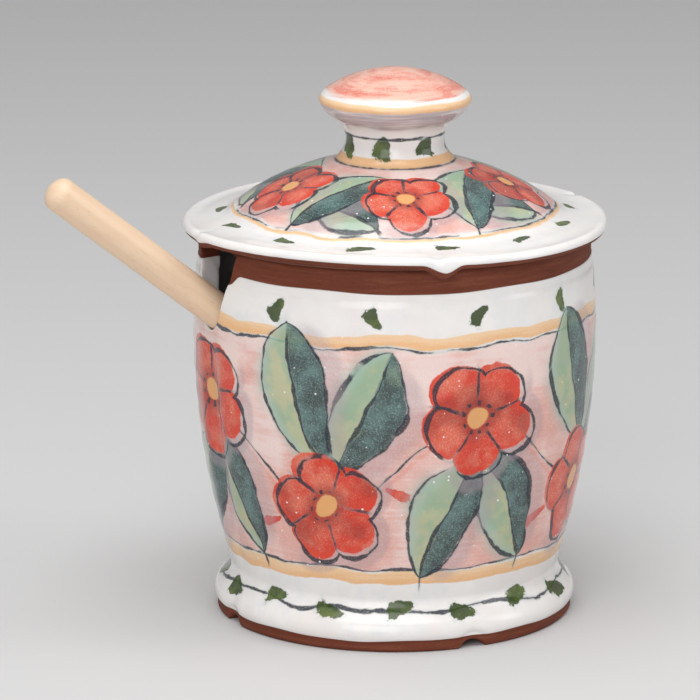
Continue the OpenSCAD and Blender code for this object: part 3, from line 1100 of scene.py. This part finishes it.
def glazed_jar():
    """The whole finish of the jar."""
    finish = Finish("painted_jar_glaze")
    brush = Brush(finish, 5.5)
    x, y, height = finish.parts(brush.spot)
    angle = finish.maths("ARCTAN2", y * -1.0, x * -1.0)
    ragged = height + (brush.pool - 0.5) * 2.2
    ground = white_glaze(finish, brush)
    ground = pink_wash(finish, brush, ground, height, finish.within(ragged, pink_low, pink_high, 0.8))
    ground = stripe(finish, brush, ground, height, top_stripe_z, top_stripe_half)
    ground = ink(finish, brush, ground, height - top_stripe_z + top_line_gap, 1.0, 0.75, 0.9)
    ground = stripe(finish, brush, ground, height, low_stripe_z, low_stripe_half)
    ground = ink(finish, brush, ground, height - low_stripe_z - low_line_gap, 1.0, 0.75, 0.9)
    past = height - shoulder_dab_z
    ground = ring_of_dabs(finish, brush, ground, angle, past, shoulder_ring, shoulder_dab, 0.6)
    vine = height - vine_z - finish.maths("SINE", angle * vine_ring[0] / 2) * vine_sway
    ground = ink(finish, brush, ground, vine, 1.0, 0.8, 1.0)
    ground = ring_of_dabs(finish, brush, ground, angle, vine, vine_ring, vine_dab, 1.2)
    ground = garland(finish, brush, ground, angle, height)
    ground = finish.coat(ground, WHITE, pinholes(finish, brush, 1.9, 0.09) * 0.95)
    true_angle, true_height = true_polar(finish)
    part = own_number(finish, "part")
    ground = finish.coat(ground, white_glaze(finish, brush), finish.rise(part, 0.3, 0.5))
    sag = finish.within(true_angle, 0, sag_at, sag_half) * sag_depth
    above = true_height - clay_line(finish, true_angle, neck_line_z, neck_waves) + sag
    below = clay_line(finish, true_angle, foot_line_z, foot_waves) - true_height
    bare = finish.maths("MAXIMUM", finish.rise(above, -0.12, 0.12), finish.rise(below, -0.12, 0.12))
    return glossy(finish, brush, finish.coat(ground, bare_clay(finish, brush), bare), bare)


def glossy(finish, brush, colour, bare):
    """Ends a glazed finish: a shine that waves a little on the glaze, and none on bare clay."""
    gloss = 0.09 + finish.rise(brush.pool, 0.3, 0.9) * 0.09
    skin = brush.press * 0.06 + brush.pool * 0.05
    tooth = (brush.grain * 0.10 + brush.streak * 0.24) * bare
    sockets = {"Roughness": gloss + bare * 0.66, "Specular IOR Level": glaze_shine}
    return finish.surface(colour, sockets, skin + tooth)


jar.data.materials.append(glazed_jar())

# %% [markdown]
# ## The lid's finish
# The lid carries the same colours in rings: a white rim with dabs, a thin ochre line where the cone
# starts, a pink cone with its own ring of blossoms and leaves, an ochre collar under the knob, dabs on the
# knob's neck, a streaky grey band on the knob's underside and a coral cap brushed while the lid turned.

# %% Glaze the lid
cone_middle_r = 31
cone_slope = 1.11
lid_blossoms = 5
rim_line_r = 44.6
collar_z = 20.5
collar_line_z = 19.35
cone_leaves = (((7.5, -7), 160, 10.5, 5.6, -0.25), ((-1.8, 0.8), 55, 14.6, 8.2, 0.3))
cone_size = 12.4
rim_dab_r = 48
rim_ring = (13, rim_dab_r, 4)
rim_dab = (3.3, 1.25, 10)
neck_dab_z = 24.2
neck_ring = (7, knob_neck[0], 4)
neck_dab = (2.7, 2.6, 80)
knob_line_z = 26.9
grey_low, grey_high = 30.2, 35.4
knob_stripe_z = 36.2
knob_stripe_half = 1.0
cap_low, cap_high = 37.8, 38.7


def ring_of_blossoms(finish, brush, ground, angle, reach):
    """Blossoms round the cone with a leaf between each two."""
    up = (reach * -1.0 + cone_middle_r) * cone_slope
    half_turn = math.pi / lid_blossoms
    across = finish.maths("WRAP", angle, half_turn, -half_turn) * reach
    aside = finish.maths("WRAP", angle + half_turn, half_turn, -half_turn) * reach
    stem = up + 5 - finish.maths("COSINE", angle * lid_blossoms) * 4
    ground = finish.coat(ground, CORAL, finish.line(stem - 1.3, 0.5, 0.4) * 0.3)
    ground = ink(finish, brush, ground, stem, 1.0, 0.7)
    between_two = finish.joined(aside, up)
    for each in cone_leaves:
        ground = leaf(finish, brush, ground, between_two, *each)
    return blossom(finish, brush, ground, across, up - 0.4, cone_size, 0.8)


def knob_paint(finish, brush, ground, up):
    """The rings of the knob, from the line under it to the coral cap."""
    ground = ink(finish, brush, ground, up - knob_line_z, 1.0, 1.1, 0.8)
    # A streaky lavender-grey band, laid only on the knob's underside between two heights.
    grey = finish.within(up + (brush.wide - 0.5) * 5, grey_low, grey_high, 0.6)
    ground = finish.coat(ground, LAVENDER, grey * finish.rise(brush.streak, 0.2, 0.6) * 0.75)
    ground = stripe(finish, brush, ground, up, knob_stripe_z, knob_stripe_half)
    cap = finish.rise(up + (brush.streak - 0.5) * 2.4, cap_low, cap_high)
    tone = finish.coat(CORAL_THIN, CORAL, finish.rise(brush.streak * 0.6 + brush.pool * 0.4, 0.42, 0.62))
    tone = finish.coat(tone, CORAL, finish.rise(brush.grain, 0.5, 0.66) * 0.45)
    tone = finish.coat(tone, WHITE, brush.speck * 0.5)
    return finish.coat(ground, tone, cap * 0.95)


def glazed_lid():
    """The whole finish of the lid."""
    finish = Finish("painted_lid_glaze")
    brush = Brush(finish, 3.4)
    x, y, height = finish.parts(brush.spot)
    angle = finish.maths("ARCTAN2", y * -1.0, x * -1.0)
    reach = finish.maths("SQRT", x * x + y * y)
    up = height - mouth_z
    white = white_glaze(finish, brush)
    ragged = reach + (brush.pool - 0.5) * 1.6
    inside_line = finish.rise(ragged, rim_line_r - 0.6, rim_line_r - 1.8)
    ground = pink_wash(finish, brush, white, height - wash_middle, inside_line)
    ground = ring_of_blossoms(finish, brush, ground, angle, reach)
    ground = finish.coat(ground, white, finish.rise(reach, rim_line_r - 0.5, rim_line_r))
    ground = stripe(finish, brush, ground, reach, rim_line_r, 0.4)
    in_places = finish.rise(brush.wide, 0.44, 0.52)
    ground = ink(finish, brush, ground, reach - rim_line_r + 0.7, in_places, 0.5, 0.8)
    true_height = finish.parts(finish.spot)[2] - mouth_z
    ground = finish.coat(ground, white, finish.rise(true_height, collar_line_z - 0.2, collar_line_z + 0.2))
    ground = stripe(finish, brush, ground, true_height, collar_z, 1.15, 0.25)
    ground = ink(finish, brush, ground, true_height - collar_line_z, 1.0, 0.38, 0.9)
    past = up - neck_dab_z
    ground = ring_of_dabs(finish, brush, ground, angle, past, neck_ring, neck_dab, flip=False)
    ground = knob_paint(finish, brush, ground, true_height)
    ground = ring_of_dabs(finish, brush, ground, angle, reach - rim_dab_r, rim_ring, rim_dab)
    ground = finish.coat(ground, WHITE, pinholes(finish, brush, 1.8, 0.08) * 0.95)
    hollow = finish.rise(own_number(finish, "part"), 1.2, 1.6)
    ground = finish.coat(ground, white, hollow)
    true_reach = Number(finish, finish.node("VectorMath", {"operation": "LENGTH"}, {
        0: finish.vector("MULTIPLY", finish.spot, (1, 1, 0))}).outputs["Value"])
    seat = finish.rise(true_reach, hollow_r - 0.5, hollow_r) * hollow
    line = own_number(finish, "thrown_z") - mouth_z - rim_line_z + (brush.press - 0.5) * 0.3
    bare = finish.maths("MAXIMUM", seat, finish.rise(line, 0.1, -0.1) * (hollow * -1.0 + 1))
    return glossy(finish, brush, finish.coat(ground, bare_clay(finish, brush), bare), bare)


lid.data.materials.append(glazed_lid())

# %% [markdown]
# ## The dipper's wood
# The dowel is pale, close-grained wood, sanded but not varnished. Real grain is solid: rings round a pith
# that lies outside the dowel, cut through by its surface. So the rings are worked out in the dipper's own
# frame, and the end shows them as arcs without any extra drawing.

# %% Grain the dipper
ring_gap = 3.1
pith_away = (23, 9)
WOOD = shade(0.905, 0.79, 0.675)
WOOD_RING = shade(0.86, 0.725, 0.595)
WOOD_FIBRE = shade(0.92, 0.82, 0.715)
WOOD_RAY = shade(0.77, 0.615, 0.49)
WOOD_MOTTLE = shade(0.87, 0.735, 0.61)


def pale_dowel():
    """Sanded pale wood with faint rings, fine pores and a few short rays."""
    finish = Finish("sanded_pale_wood")
    upright = finish.node("Mapping", {"vector_type": "TEXTURE"}, {
        "Vector": finish.spot,
        "Location": (-saddle_r, 0, saddle_z),
        "Rotation": (0, dipper_lean - math.pi / 2, 0),
    }).outputs[0]
    drift = finish.cloud(26, 2, 0.5, upright, 11, (1, 1, 4))
    fibre = finish.cloud(0.8, 3, 0.6, upright, 29, (1, 1, 26))
    ray = finish.cloud(0.5, 2, 0.6, upright, 53, (1, 1, 5))
    mottle = finish.cloud(5, 3, 0.6, upright, 71, (1, 1, 2))
    x, y, _ = finish.parts(upright)
    x = x + pith_away[0] + drift * 3
    y = y + pith_away[1] + drift * 2
    rings = finish.maths("SINE", finish.maths("SQRT", x * x + y * y) * (2 * math.pi / ring_gap))
    tone = finish.coat(WOOD, WOOD_RING, finish.rise(rings, -0.6, 1.2) * 0.3)
    tone = finish.coat(tone, WOOD_FIBRE, finish.rise(fibre, 0.5, 0.8) * 0.45)
    tone = finish.coat(tone, WOOD_RAY, finish.rise(ray, 0.6, 0.74) * 0.4)
    tone = finish.coat(tone, WOOD_MOTTLE, finish.rise(mottle, 0.52, 0.7) * 0.3)
    return finish.surface(tone, {"Roughness": fibre * 0.12 + 0.48}, fibre * 0.05 + ray * 0.03)


dipper.data.materials.append(pale_dowel())

# %% [markdown]
# ## A plain studio
# The object is shown on a pale floor that curves up all round, so that no view meets an edge. Large soft
# lamps overhead, to the left and, weaker, to the right model the round forms, and a pale sky fills the
# shadows. The lamps stay out of the camera's sight but show in the glaze, as a softbox does.

# %% Floor, sky and lamps
floor_r = 2400
floor_bend = (3400, 0)
floor_end = (3500, 1500)

floor_outline = straight((0, 0), (floor_r, 0), 6) + curve((floor_r, 0), floor_bend, floor_end, 16)
floor = off_the_wheel(throw([(OUTSIDE, floor_outline)], 96), "studio_floor")
paper = Finish("pale_paper")
paper_shader = paper.node("BsdfPrincipled", None, {"Base Color": shade(0.81, 0.81, 0.81), "Roughness": 0.9})
paper.tree.links.new(paper_shader.outputs[0], paper.node("OutputMaterial").inputs["Surface"])
floor.data.materials.append(paper.material)

sky = bpy.data.worlds.new("pale_sky")
sky.use_nodes = True
sky.node_tree.nodes["Background"].inputs["Color"].default_value = (1, 1, 1, 1)
sky.node_tree.nodes["Background"].inputs["Strength"].default_value = 0.42
bpy.context.scene.world = sky


def softbox(name, place, aim_at, width, depth, power):
    """A soft lamp of a size in metres, aimed at a point, that the camera doesn't see."""
    lamp = bpy.data.lights.new(name, "AREA")
    lamp.shape = "RECTANGLE"
    lamp.size = width
    lamp.size_y = depth
    lamp.energy = power
    box = bpy.data.objects.new(name, lamp)
    box.location = place
    box.rotation_euler = (Vector(place) - Vector(aim_at)).to_track_quat("Z", "Y").to_euler()
    box.visible_camera = False
    bpy.context.scene.collection.objects.link(box)
    return box


pot_middle = (0, 0, 0.08)
softbox("overhead_softbox", (-0.15, -0.2, 1.25), pot_middle, 1.0, 1.0, 10.5)
softbox("left_softbox", (-0.8, -1.05, 0.6), pot_middle, 0.9, 1.0, 9)
softbox("right_softbox", (1.0, -0.75, 0.6), pot_middle, 0.5, 0.9, 3.5)
bpy.context.scene.view_settings.view_transform = "Standard"
